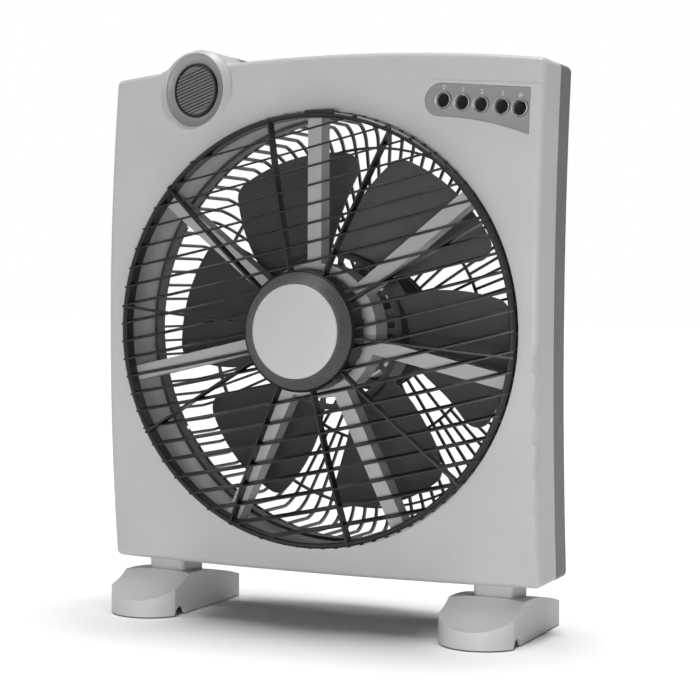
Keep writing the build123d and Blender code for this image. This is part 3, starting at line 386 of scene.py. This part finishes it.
def key_symbols(frame, finish):
    panel = frame["nodes"]["control_panel"]
    figures = ["0", "1", "2", "3"]
    for k in range(KEY_COUNT):
        low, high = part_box(f"button_{k + 1}")
        x, z = (low.x + high.x) / 2, (low.z + high.z) / 2
        mesh = figure_mesh(figures[k]) if k < len(figures) else swirl_mesh()
        mesh.materials.clear()
        mesh.materials.append(finish)
        piece = print_on_panel(f"key_symbol_{k + 1}", mesh, x, z + SYMBOL_LIFT, panel)
        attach(piece, "base")


# ---- studio ----
def make_floor():
    half = FLOOR_SIZE / 2
    mesh = bpy.data.meshes.new("floor")
    corners = [(-half, -half, 0), (half, -half, 0), (half, half, 0), (-half, half, 0)]
    mesh.from_pydata(corners, [], [(0, 1, 2, 3)])
    finish = Finish("floor_paper", 0.9)
    finish.colour((0.90, 0.90, 0.90, 1), (0.93, 0.93, 0.93, 1), finish.noise(0.5, 2))
    mesh.materials.append(finish.material)
    floor = bpy.data.objects.new("floor", mesh)
    bpy.context.scene.collection.objects.link(floor)


def make_sky():
    """A white sky that lights gently and shows more strongly in glossy surfaces."""
    world = bpy.data.worlds.new("studio")
    bpy.context.scene.world = world
    world.use_nodes = True
    nodes, links = world.node_tree.nodes, world.node_tree.links
    nodes.clear()
    path = nodes.new("ShaderNodeLightPath")
    light = nodes.new("ShaderNodeMix")
    light.inputs[MIX_FLOAT_A].default_value = SKY_LIGHT
    light.inputs[MIX_FLOAT_B].default_value = SKY_GLOSS
    links.new(path.outputs["Is Glossy Ray"], light.inputs[MIX_FACTOR])
    seen = nodes.new("ShaderNodeMix")
    seen.inputs[MIX_FLOAT_B].default_value = SKY_SEEN
    links.new(path.outputs["Is Camera Ray"], seen.inputs[MIX_FACTOR])
    links.new(light.outputs[MIX_FLOAT_OUT], seen.inputs[MIX_FLOAT_A])
    background = nodes.new("ShaderNodeBackground")
    background.inputs["Color"].default_value = (1, 1, 1, 1)
    links.new(seen.outputs[MIX_FLOAT_OUT], background.inputs["Strength"])
    output = nodes.new("ShaderNodeOutputWorld")
    links.new(background.outputs[0], output.inputs["Surface"])


def aim(obj, place, target):
    obj.location = place
    obj.rotation_euler = (Vector(target) - Vector(place)).to_track_quat("-Z", "Y").to_euler()
    bpy.context.scene.collection.objects.link(obj)


def softbox(name, place, target, size, power):
    light = bpy.data.lights.new(name, "AREA")
    light.shape = "RECTANGLE"
    light.size, light.size_y = size
    light.energy = power
    aim(bpy.data.objects.new(name, light), place, target)


def make_lights():
    top = bpy.data.lights.new("top", "SUN")
    top.energy = TOP_LIGHT
    top.angle = TOP_SPREAD
    aim(bpy.data.objects.new("top", top), TOP_FROM, (0, 0, 0))
    softbox("front", FRONT_FROM, FRONT_TARGET, FRONT_SIZE, FRONT_LIGHT)


def foot_lights():
    """A narrow soft beam on each foot, from in front and above."""
    for node in ("left_foot", "right_foot"):
        low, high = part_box(node)
        light = bpy.data.lights.new(node, "SPOT")
        light.energy = FOOT_LIGHT
        light.spot_size = FOOT_BEAM
        light.spot_blend = 1.0
        light.shadow_soft_size = FOOT_LAMP_R
        target = Vector(((low.x + high.x) / 2, low.y + FOOT_AIM[0], FOOT_AIM[1]))
        aim(bpy.data.objects.new("light_" + node, light), target + Vector(FOOT_LIGHT_FROM), target)


def make_camera(frame):
    """The camera, placed from the centre of the louvre ring."""
    ring = next(joint for joint in frame["record"]["behaviour"]["joints"] if joint["name"] == "louvre_spin")
    camera = bpy.data.cameras.new("camera")
    camera.lens = CAMERA_LENS
    camera.sensor_width = SENSOR
    forward = Vector(CAMERA_FORWARD).normalized()
    right = forward.cross(Vector((0, 0, 1))).normalized()
    up = right.cross(forward)
    across = right * math.cos(CAMERA_ROLL) + up * math.sin(CAMERA_ROLL)
    upward = across.cross(forward)
    turn = Matrix((across, upward, -forward)).transposed().to_4x4()
    holder = bpy.data.objects.new("camera", camera)
    place = Vector(ring["pos_m"]) + Vector(CAMERA_FROM_RING)
    holder.matrix_world = Matrix.Translation(place) @ turn
    bpy.context.scene.collection.objects.link(holder)
    bpy.context.scene.camera = holder


def main():
    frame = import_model()
    make_camera(frame)
    finishes = make_finishes()
    dress_nodes(frame, finishes)
    key_symbols(frame, moulded("print_white", 205, 0.5, depth=0.005 * MM))
    make_floor()
    make_sky()
    make_lights()
    foot_lights()
    bpy.context.scene.view_settings.view_transform = "Standard"


main()
